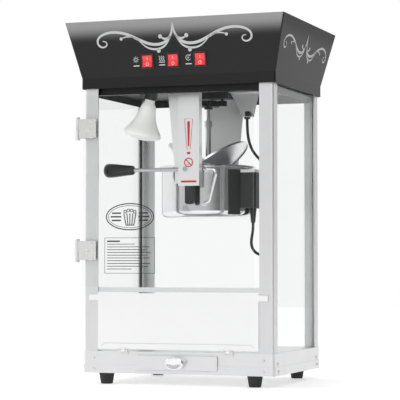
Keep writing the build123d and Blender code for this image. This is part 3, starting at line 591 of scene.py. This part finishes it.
def ring_line(centre, half_across, half_up, steps=72):
    """The places round an oval, ending where it starts."""
    return [(centre[0] + half_across * cos(tau * step / steps),
             centre[1] + half_up * sin(tau * step / steps)) for step in range(steps + 1)]


finish, place = start_finish("black_ink")
ink_grain = place.speckle(0.0006)
black_ink = close_finish(
    finish,
    Base_Color=ink_grain.blend((0.012, 0.012, 0.013), (0.030, 0.030, 0.031)),
    Roughness=0.4 + ink_grain * 0.25,
    Normal=ink_grain.bumps(0.00002),
)


def ink_bar(start, end, width):
    return bar("ink", start, end, width, on_door, INK_LIFT, black_ink)


def carton_mark():
    """A double oval round a striped carton, with a bar to each side."""
    cx, cz = MARK_CENTRE
    parts = []
    for across, up, width in ((0.0525, 0.0270, 0.0022), (0.0480, 0.0228, 0.0010)):
        line = ring_line((cx, cz), across, up)
        parts.append(ribbon("ink", line, [width] * len(line), on_door, INK_LIFT, black_ink))
    for share in (-1.0, -0.5, 0.0, 0.5, 1.0):
        foot = (cx + share * 0.0085, cz - 0.0175)
        parts.append(ink_bar(foot, (cx + share * 0.0135, cz + 0.0070), 0.0021))
    parts.append(ink_bar((cx - 0.0092, cz - 0.0175), (cx + 0.0092, cz - 0.0175), 0.0018))
    for dx, dz in ((-0.0105, 0.0105), (-0.0035, 0.0130), (0.0040, 0.0128), (0.0108, 0.0100)):
        line = ring_line((cx + dx, cz + dz), 0.0030, 0.0027, 20)
        parts.append(ribbon("ink", line, [0.0016] * len(line), on_door, INK_LIFT, black_ink))
    for hand in (-1, 1):
        for row, (near, far) in enumerate(CARTON_SIDE_BARS):
            up = cz + 0.0075 - row * 0.0075
            parts.append(ink_bar((cx + hand * near, up), (cx + hand * far, up), 0.0030))
    return joined("door_carton_mark", parts)


def ruled_note():
    """A thin frame with a short heavy bar on top and rows of fine bars below."""
    low, high = NOTE_X
    foot, top = NOTE_Z
    corners = [(low, foot), (high, foot), (high, top), (low, top)]
    parts = [ink_bar(corners[side], corners[(side + 1) % 4], 0.0009) for side in range(4)]
    parts.append(ink_bar((low + NOTE_MARGIN, top - 0.007), (low + 0.034, top - 0.007), 0.0030))
    for row, reach in enumerate(NOTE_LINES):
        up = top - 0.0130 - row * NOTE_LINE_STEP
        end = low + NOTE_MARGIN + reach * NOTE_LINE_REACH
        parts.append(ink_bar((low + NOTE_MARGIN, up), (end, up), 0.0014))
    return joined("door_ruled_note", parts)


for mark in (carton_mark(), ruled_note()):
    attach(mark, "door")


# The serving flap: brushed stainless sheet with a folded lip along its foot and one at its top,
# on two knuckles, held shut by two round magnets.
flap_steel = brushed(
    "flap_steel", (0.92, 0.92, 0.93), (0.99, 0.99, 0.99), (0.02, 1.0, 1.0),
    roughness=0.34, mirror=0.60, depth=0.000010,
)
dress(flap_steel, "serving_flap")

FLAP_FACE = -0.1640
FOLD_LINE = [(-0.168, 0.0790), (-0.158, 0.0850), (0.158, 0.0850), (0.168, 0.0790)]


def on_flap(across, up):
    """A place on the flap's outside, and the way out of it."""
    return Vector((across, FLAP_FACE, up)), Vector((0.0, -1.0, 0.0))


fold = ribbon("flap_foot_bead", FOLD_LINE, [0.0014] * 4, on_flap, 0.0004, fold_steel)
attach(fold, "flap")

finish, place = start_finish("magnet_plating")
fleck = place.speckle(0.0012)
magnet_plating = close_finish(
    finish,
    Base_Color=fleck.blend((0.55, 0.55, 0.55), (0.72, 0.72, 0.71)),
    Metallic=1.0,
    Roughness=0.2 + fleck * 0.15,
    Normal=fleck.bumps(0.00002),
)
dress(magnet_plating, "flap_magnets")


# The canopy: a black painted steel shell, folded from a straight band out to a flared top, with
# a slotted cover inside it and a flat ceiling plate below. The satin paint has a fine orange peel.
# Its front is painted paler towards the top edge: a painted sheen.
BAND_TOP = 0.635
CANOPY_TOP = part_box("canopy_shell")[1].z
BAND_HALF = (0.212, 0.167)
FLARE = 0.027


def canopy_paint(name, painted_sheen_tone):
    """Black satin paint, with a painted sheen that makes the front paler along its top edge."""
    finish, place = start_finish(name)
    peel = place.speckle(0.0016, detail=2.0)
    height = place.node("ShaderNodeSeparateXYZ", {"Vector": place}, output="Z")
    share = height.node("ShaderNodeMapRange", {
        "Value": height, "From Min": CANOPY_TOP - 0.046, "From Max": CANOPY_TOP - 0.002,
    }, interpolation_type="SMOOTHERSTEP")
    facing = place.node("ShaderNodeNewGeometry", {}, output="Normal")
    across = facing.node("ShaderNodeSeparateXYZ", {"Vector": facing}, output="Y")
    front = across.node("ShaderNodeMapRange", {
        "Value": across, "From Min": -0.6, "From Max": -0.9,
    })
    # Painted sheen: the front faces turn paler towards the top edge.
    coat_and_painted_sheen = (share * front).blend((0.0085, 0.0085, 0.009), painted_sheen_tone)
    return close_finish(
        finish,
        Base_Color=coat_and_painted_sheen,
        Roughness=0.34 + peel * 0.10 + share * 0.10,
        Specular_IOR_Level=0.30,
        Normal=peel.bumps(0.00003),
    )


# The pale grey is the colour of the painted sheen at the top of the front.
black_paint = canopy_paint("black_paint", (0.30, 0.30, 0.305))
dress(black_paint, "canopy_shell", "canopy_top_cover", "ceiling_plate")


# The scroll on the canopy's front and sides: a flat silver print of a plain wave that rises to a
# point in the middle and rolls up at both ends, with a thinner line and drops beside it.
SCROLL_MAIN = [
    (0.0, 0.744), (0.0008, 0.731), (0.004, 0.717), (0.014, 0.704), (0.030, 0.6975),
    (0.052, 0.6985), (0.074, 0.708), (0.096, 0.7195), (0.122, 0.7265), (0.148, 0.7255),
    (0.1665, 0.7165), (0.1690, 0.7035), (0.1590, 0.6955), (0.1475, 0.6990), (0.1480, 0.7085),
    (0.1565, 0.7090),
]
SCROLL_UNDER = [
    (0.006, 0.712), (0.014, 0.698), (0.030, 0.6885), (0.050, 0.6885), (0.066, 0.6965),
    (0.078, 0.7090),
]
SCROLL_BRANCH = [(0.074, 0.7085), (0.088, 0.7150), (0.102, 0.7165), (0.113, 0.7135)]
SCROLL_CURL = [(0.004, 0.716), (0.012, 0.7085), (0.022, 0.7080), (0.027, 0.7125)]
SCROLL_DROPS = [(0.0285, 0.7135, 0.0042), (0.034, 0.6850, 0.0040), (0.115, 0.7120, 0.0032)]
SCROLL_LIFT = 0.0003
SCROLL_MIDDLE = 0.709
SIDE_SCALE = 0.90
SIDE_DROP = 0.012
SLOPE_OUT = 0.9735
SLOPE_DOWN = 0.2286


def on_front(across, up):
    """A place on the canopy's sloping front, and the way out of it."""
    out = BAND_HALF[1] + FLARE * (up - BAND_TOP) / (CANOPY_TOP - BAND_TOP)
    return Vector((across, -out, up)), Vector((0.0, -SLOPE_OUT, -SLOPE_DOWN))


def on_side(hand):
    """The same for the sloping side on the right, 1, or the left, -1."""
    def place_on(across, up):
        out = BAND_HALF[0] + FLARE * (up - BAND_TOP) / (CANOPY_TOP - BAND_TOP)
        way = Vector((hand * SLOPE_OUT, 0.0, -SLOPE_DOWN))
        return Vector((hand * out, hand * across, up)), way
    return place_on


def flat_line(points):
    """Close (across, up) places on the smooth line with these control points."""
    places = places_along("scroll_line", [(across, 0.0, up) for across, up in points])
    return [(place.x, place.z) for place in places]


def swelling(count, thin, thick, peak=0.4):
    """Widths that swell from thin to thick and back along a line."""
    widths = []
    for index in range(count):
        share = index / (count - 1)
        near = share / peak if share < peak else (1 - share) / (1 - peak)
        widths.append(thin + (thick - thin) * sin(near * pi / 2))
    return widths


DISC_SIDES = 24


def disc(name, centre, radius, on_face, lift, finish):
    """A small flat round spot on a face."""
    points = []
    for step in range(DISC_SIDES):
        angle = tau * step / DISC_SIDES
        place, out = on_face(centre[0] + radius * cos(angle), centre[1] + radius * sin(angle))
        points += [place, place + out * lift]
    faces = [tuple(range(1, len(points), 2)), tuple(reversed(range(0, len(points), 2)))]
    for step in range(DISC_SIDES):
        after = (step + 1) % DISC_SIDES
        faces.append((step * 2, after * 2, after * 2 + 1, step * 2 + 1))
    return new_piece(name, points, faces, finish, smooth=False)


finish, place = start_finish("silver_print")
fleck = place.speckle(0.0009)
silver_print = close_finish(
    finish,
    Base_Color=fleck.blend((0.46, 0.46, 0.47), (0.64, 0.64, 0.64)),
    Metallic=0.25,
    Roughness=0.38 + fleck * 0.2,
    Normal=fleck.bumps(0.00002),
)


def scroll(name, on_face, scale, drop):
    """The whole scroll, both halves, at this scale and this much lower."""
    def lay(points, hand):
        return [(hand * across * scale, SCROLL_MIDDLE + (up - SCROLL_MIDDLE) * scale - drop)
                for across, up in points]

    parts = []
    for hand in (-1, 1):
        for points, thin, thick, peak in (
            (SCROLL_MAIN, 0.0018, 0.0058, 0.25), (SCROLL_UNDER, 0.0014, 0.0042, 0.4),
            (SCROLL_BRANCH, 0.0016, 0.0030, 0.5), (SCROLL_CURL, 0.0020, 0.0044, 0.6),
        ):
            line = flat_line(lay(points, hand))
            widths = swelling(len(line), thin * scale, thick * scale, peak)
            parts.append(ribbon("line", line, widths, on_face, SCROLL_LIFT, silver_print))
        for across, up, radius in SCROLL_DROPS:
            spot = lay([(across, up)], hand)[0]
            parts.append(disc("drop", spot, radius * scale, on_face, SCROLL_LIFT, silver_print))
    return joined(name, parts)


for made in (
    scroll("front_scroll", on_front, 1.0, 0.0),
    scroll("right_scroll", on_side(1), SIDE_SCALE, SIDE_DROP),
    scroll("left_scroll", on_side(-1), SIDE_SCALE, SIDE_DROP),
):
    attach(made, "root")


# The three switches: moulded black housings pushed through the front, each with a red rocker
# that is lit from inside. Each rocker has a bar and a ring, for on and off.
dress(nylon, "switch_housings")

finish, place = start_finish("lit_red_plastic")
cloud = place.speckle(0.006)
lit_red = close_finish(
    finish,
    Base_Color=cloud.blend((0.62, 0.010, 0.016), (0.80, 0.030, 0.035)),
    Roughness=0.16 + cloud * 0.12,
    Emission_Color=cloud.blend((0.60, 0.010, 0.014), (1.0, 0.060, 0.060)),
    Emission_Strength=0.30,
    Coat_Weight=0.4,
    Normal=cloud.bumps(0.00003),
)
dress(lit_red, "rocker_light", "rocker_heat", "rocker_motor")

finish, place = start_finish("white_print")
fleck = place.speckle(0.0007)
white_print = close_finish(
    finish,
    Base_Color=fleck.blend((0.60, 0.60, 0.60), (0.76, 0.76, 0.76)),
    Roughness=0.45 + fleck * 0.2,
    Normal=fleck.bumps(0.00001),
)


MARK_LIFT = 0.0002


def rocker_side(node, upper):
    """The middle of a rocker's upper or lower slope, and the way out of it."""
    mesh = node.data
    middle = sum((vertex.co.z for vertex in mesh.vertices)) / len(mesh.vertices)
    found = [face for face in mesh.polygons
             if face.normal.y < -0.8 and (face.center.z > middle) == upper]
    area = sum(face.area for face in found)
    centre = sum((face.center * face.area for face in found), Vector()) / area
    out = sum((face.normal * face.area for face in found), Vector()).normalized()
    return centre, out


def rocker_marks(name):
    """A bar on the rocker's upper slope and a ring on its lower one."""
    parts = []
    for upper in (True, False):
        centre, out = rocker_side(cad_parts[name], upper)
        rise = Vector((0, 0, 1)) - out * out.z
        rise.normalize()

        def on_slope(across, up):
            return centre + Vector((across, 0, 0)) + rise * up, out

        if upper:
            ends = ((0, -0.0028), (0, 0.0028))
            parts.append(bar("mark", *ends, 0.0011, on_slope, MARK_LIFT, white_print))
        else:
            line = ring_line((0, 0), 0.0026, 0.0030, 28)
            widths = [0.0010] * len(line)
            parts.append(ribbon("mark", line, widths, on_slope, MARK_LIFT, white_print))
    return joined(name + "_marks", parts)


for name in ("rocker_light", "rocker_heat", "rocker_motor"):
    marks = rocker_marks(name)
    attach(marks, name)


# The printed signs beside the switches: a lamp with rays, rising heat, and a stirring ring, each
# over a short bar. They are white ink on the paint and have no words.
SIGN_LIFT = 0.00025
SIGN_PLACES = (-0.0860, -0.0290, 0.0290)
SIGN_UP = 0.669
SIGN_BAR_UP = 0.6565
SIGN_BAR_HALF = 0.0065


def sign_line(points, width):
    return ribbon("sign", points, [width] * len(points), on_front, SIGN_LIFT, white_print)


def lamp_sign(cx, cz):
    parts = [sign_line(ring_line((cx, cz), 0.0030, 0.0030, 28), 0.0009)]
    for step in range(8):
        angle = tau * step / 8
        near = (cx + 0.0045 * cos(angle), cz + 0.0045 * sin(angle))
        far = (cx + 0.0065 * cos(angle), cz + 0.0065 * sin(angle))
        parts.append(sign_line([near, far], 0.0009))
    return parts


def heat_sign(cx, cz):
    parts = []
    for shift in (-0.0042, 0.0, 0.0042):
        line = [(cx + shift + 0.0011 * sin(step * 0.8), cz - 0.0055 + step * 0.0008)
                for step in range(15)]
        parts.append(sign_line(line, 0.0010))
    up = cz - 0.0072
    parts.append(sign_line([(cx - SIGN_BAR_HALF, up), (cx + SIGN_BAR_HALF, up)], 0.0011))
    return parts


def stir_sign(cx, cz):
    open_ring = [(cx + 0.0052 * cos(radians(turn)), cz + 0.0052 * sin(radians(turn)))
                 for turn in range(40, 331, 10)]
    parts = [sign_line(open_ring, 0.0010)]
    end = open_ring[0]
    parts.append(sign_line([(end[0] - 0.0030, end[1] + 0.0014), end], 0.0010))
    parts.append(sign_line([(end[0] + 0.0012, end[1] + 0.0036), end], 0.0010))
    parts.append(sign_line(ring_line((cx, cz), 0.0013, 0.0013, 16), 0.0009))
    return parts


signs = []
for draw, middle in zip((lamp_sign, heat_sign, stir_sign), SIGN_PLACES):
    signs += draw(middle, SIGN_UP)
for middle in SIGN_PLACES:
    ends = [(middle - SIGN_BAR_HALF, SIGN_BAR_UP), (middle + SIGN_BAR_HALF, SIGN_BAR_UP)]
    signs.append(sign_line(ends, 0.0018))
switch_signs = joined("switch_signs", signs)
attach(switch_signs, "root")


# The drive: a geared motor stands on the ceiling inside the canopy. Its pinion turns a black
# nylon wheel below the ceiling, whose shaft ends in a tongue that turns the stirrer in the kettle.
finish, place = start_finish("motor_casing")
fleck = place.speckle(0.002)
motor_casing = close_finish(
    finish,
    Base_Color=fleck.blend((0.20, 0.20, 0.21), (0.32, 0.32, 0.33)),
    Metallic=0.7,
    Roughness=0.45 + fleck * 0.2,
    Normal=fleck.bumps(0.00006),
)
dress(motor_casing, "motor_body", "gearbox")
dress(nylon, "drive_gear", "motor_pinion", "drive_bearing_block")

finish, place = start_finish("ground_steel")
turning = place.stretched(1.0, 1.0, 6.0).speckle(0.003, detail=4.0)
ground_steel = close_finish(
    finish,
    Base_Color=turning.blend((0.50, 0.50, 0.51), (0.66, 0.66, 0.67)),
    Metallic=1.0,
    Roughness=0.22 + turning * 0.14,
    Normal=turning.bumps(0.00002),
)
dress(ground_steel, "drive_shaft", "agitator_rod", "handle_rod", "pivot_pins")


# The lamp: a frosted glass reflector bulb in a black moulded holder, tipped to shine on the corn.
# The bulb is one blown piece: a neck, a flared cone and a wide round face.
BULB_SEAT = Vector((-0.072, -0.118, 0.611))
BULB_TIP = radians(14.0)
dress(nylon, "lamp_holder")

finish, place = start_finish("frosted_bulb_glass")
frost = place.speckle(0.0009)
frosted_glass = close_finish(
    finish,
    Base_Color=place.speckle(0.02).blend((0.80, 0.80, 0.79), (0.90, 0.90, 0.89)),
    Roughness=0.30 + frost * 0.25,
    Emission_Color=frost.blend((0.80, 0.79, 0.76), (0.95, 0.94, 0.92)),
    Emission_Strength=0.10,
    Normal=frost.bumps(0.00003),
)
BULB_SHAPE = [
    (0.0, 0.0120), (0.0104, 0.0120), (0.0104, 0.0240), (0.0118, 0.0280), (0.0150, 0.0330),
    (0.0166, 0.0400), (0.0186, 0.0510), (0.0220, 0.0620), (0.0265, 0.0715), (0.0325, 0.0805),
    (0.0374, 0.0875), (0.0394, 0.0925), (0.0396, 0.0950), (0.0385, 0.0975), (0.0355, 0.0992),
    (0.0290, 0.1022), (0.0200, 0.1048), (0.0100, 0.1064), (0.0, 0.1070),
]
bulb_way = (-sin(BULB_TIP), 0, -cos(BULB_TIP))
bulb = turned("reflector_bulb", BULB_SHAPE, BULB_SEAT, bulb_way, frosted_glass, sides=64)
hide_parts("lamp_bulb")
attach(bulb, "root")


# The outlet plate: a small folded bracket below the ceiling that the kettle's lead plugs into.
# The lead leaves it through a moulded gland.
dress(fold_steel, "outlet_bracket")


# The two hangers that carry the kettle: folded polished sheet, the front one a deep channel with
# a wing to its left, the rear one ribbed. A black moulded stop on the front one holds the latch.
hanger_steel = brushed(
    "hanger_steel", (0.90, 0.90, 0.91), (0.97, 0.97, 0.98), (1.0, 1.0, 0.02),
    roughness=0.30, mirror=0.70, depth=0.000002,
)
dress(hanger_steel, "front_hanger", "rear_hanger")
dress(nylon, "kettle_latch_block")


# The hanger's two printed signs are red: a tapered bar, and a ring with a bar across it that
# warns a hand away from the moving kettle. They have no words.
PRINT_GAP = 0.0001
HANGER_LIFT = 0.0002
HANGER_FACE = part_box("front_hanger")[0].y - PRINT_GAP
finish, place = start_finish("red_print")
fleck = place.speckle(0.0007)
red_print = close_finish(
    finish,
    Base_Color=fleck.blend((0.52, 0.012, 0.014), (0.68, 0.025, 0.025)),
    Roughness=0.42 + fleck * 0.2,
    Normal=fleck.bumps(0.00001),
)


def on_hanger(across, up):
    """A place on the front hanger's face, and the way out of it."""
    return Vector((across, HANGER_FACE, up)), Vector((0.0, -1.0, 0.0))


def hanger_line(points, widths):
    return ribbon("sign", points, widths, on_hanger, HANGER_LIFT, red_print)


taper = [(-0.002, 0.549), (0.016, 0.549), (0.0105, 0.486), (0.0035, 0.486), (-0.002, 0.549)]
ring = ring_line((0.007, 0.4585), 0.0088, 0.0088, 40)
hanger_parts = [
    hanger_line(taper, [0.0010] * len(taper)),
    hanger_line([(0.007, 0.544), (0.007, 0.520), (0.007, 0.492)], [0.0060, 0.0050, 0.0030]),
    hanger_line([(0.0035, 0.478), (0.0105, 0.478)], [0.0050, 0.0050]),
    hanger_line(ring, [0.0022] * len(ring)),
    hanger_line([(0.0012, 0.4645), (0.0128, 0.4525)], [0.0020, 0.0020]),
    hanger_line([(0.0030, 0.4550), (0.0110, 0.4550)], [0.0012, 0.0012]),
    hanger_line([(-0.010, 0.419), (0.024, 0.419)], [0.0040, 0.0040]),
]
hanger_signs = joined("hanger_signs", hanger_parts)
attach(hanger_signs, "root")


# The kettle: a drawn stainless pot. The polished jacket is outside, the cooking pan with its
# rolled rim sits in it, and the heater, its thermostat and a felt of fibre lie between the two.
def polished(name, low, high, roughness):
    """Sheet steel buffed bright, with faint polishing rings and finger smears."""
    finish, place = start_finish(name)
    rings = place.stretched(0.3, 0.3, 1.0).speckle(0.0016, detail=4.0)
    smear = place.speckle(0.03, detail=4.0)
    return close_finish(
        finish,
        Base_Color=(rings * 0.4 + smear * 0.6).blend(low, high),
        Metallic=1.0,
        Roughness=roughness + smear * 0.08 + rings * 0.03,
        Normal=rings.bumps(0.00001),
    )


polished_steel = polished("polished_steel", (0.74, 0.74, 0.75), (0.90, 0.90, 0.91), 0.07)
dress(polished_steel, "kettle_jacket", "kettle_pan", "wire_handle")

finish, place = start_finish("fibre_felt")
strand = place.stretched(1.0, 0.2, 1.0).speckle(0.0015, detail=6.0)
fibre_felt = close_finish(
    finish,
    Base_Color=strand.blend((0.46, 0.44, 0.40), (0.66, 0.64, 0.59)),
    Roughness=0.85 + strand * 0.1,
    Normal=strand.bumps(0.0005),
)
dress(fibre_felt, "kettle_insulation")
dress(element_metal, "kettle_heater", "thermostat")


# The wiring box on the kettle's right side: moulded black plastic under a plated cover, held by a
# strap, with the terminal block in it. The lead goes in from below through a ribbed rubber boot.
dress(nylon, "terminal_box", "terminal_block")
dress(zinc, "terminal_box_cover")

BOOT_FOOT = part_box("lead_boot")[0].z
BOOT_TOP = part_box("lead_boot")[1].z
BOOT_AT = (0.107, 0.010)
BOOT_RADII = (0.0050, 0.0078)
BOOT_RIBS = 6


def boot_profile():
    """A cone that widens upwards, with a groove between its ribs."""
    profile = [(0.0031, 0.0), (BOOT_RADII[0] - 0.0004, 0.0)]
    rise = (BOOT_TOP - BOOT_FOOT) / BOOT_RIBS
    for rib in range(BOOT_RIBS):
        for share, dip in ((0.08, 0.0), (0.55, 0.0), (0.68, 0.0010), (0.90, 0.0010)):
            up = (rib + share) * rise
            wide = BOOT_RADII[0] + (BOOT_RADII[1] - BOOT_RADII[0]) * up / (BOOT_TOP - BOOT_FOOT)
            profile.append((wide - dip, up))
    profile += [(BOOT_RADII[1], BOOT_TOP - BOOT_FOOT), (0.0, BOOT_TOP - BOOT_FOOT)]
    return profile


boot = turned("ribbed_lead_boot", boot_profile(), (*BOOT_AT, BOOT_FOOT), (0, 0, 1), lead_rubber)
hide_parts("lead_boot")
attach(boot, "kettle")


# The tipping handle: a steel rod from a hub on the front pivot to a turned black grip, which is
# thick at its free end and tapers towards the rod.
GRIP_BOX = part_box("handle_grip")
GRIP_LINE = ((GRIP_BOX[0].y + GRIP_BOX[1].y) / 2, (GRIP_BOX[0].z + GRIP_BOX[1].z) / 2)
GRIP_LENGTH = GRIP_BOX[1].x - GRIP_BOX[0].x
GRIP_SHAPE = [
    (0.0, 0.0), (0.0060, 0.0004), (0.0105, 0.0018), (0.0134, 0.0045), (0.0147, 0.0085),
    (0.0149, 0.0130), (0.0143, 0.0210), (0.0132, 0.0320), (0.0118, 0.0440), (0.0108, 0.0530),
    (0.0103, 0.0590), (0.0100, 0.0630), (0.0090, 0.0657), (0.0072, GRIP_LENGTH),
    (0.0042, GRIP_LENGTH),
]
finish, place = start_finish("grip_plastic")
grain = place.speckle(0.0009)
grip_plastic = close_finish(
    finish,
    Base_Color=place.speckle(0.02).blend((0.009, 0.009, 0.010), (0.018, 0.018, 0.019)),
    Roughness=0.22 + grain * 0.16,
    Normal=grain.bumps(0.00004),
)
grip_foot = (GRIP_BOX[0].x, *GRIP_LINE)
grip = turned("handle_grip_turned", GRIP_SHAPE, grip_foot, (1, 0, 0), grip_plastic)
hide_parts("handle_grip")
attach(grip, "kettle")


# The lids: two half round polished sheets hinged on a bar across the rim. The stirrer turns
# below them, a slotted rod with two blades that sweep the pan's floor.
lid_steel = polished("lid_steel", (0.78, 0.78, 0.79), (0.92, 0.92, 0.93), 0.30)
dress(lid_steel, "lid_left", "lid_right", "lid_crossbar", "agitator_blades")
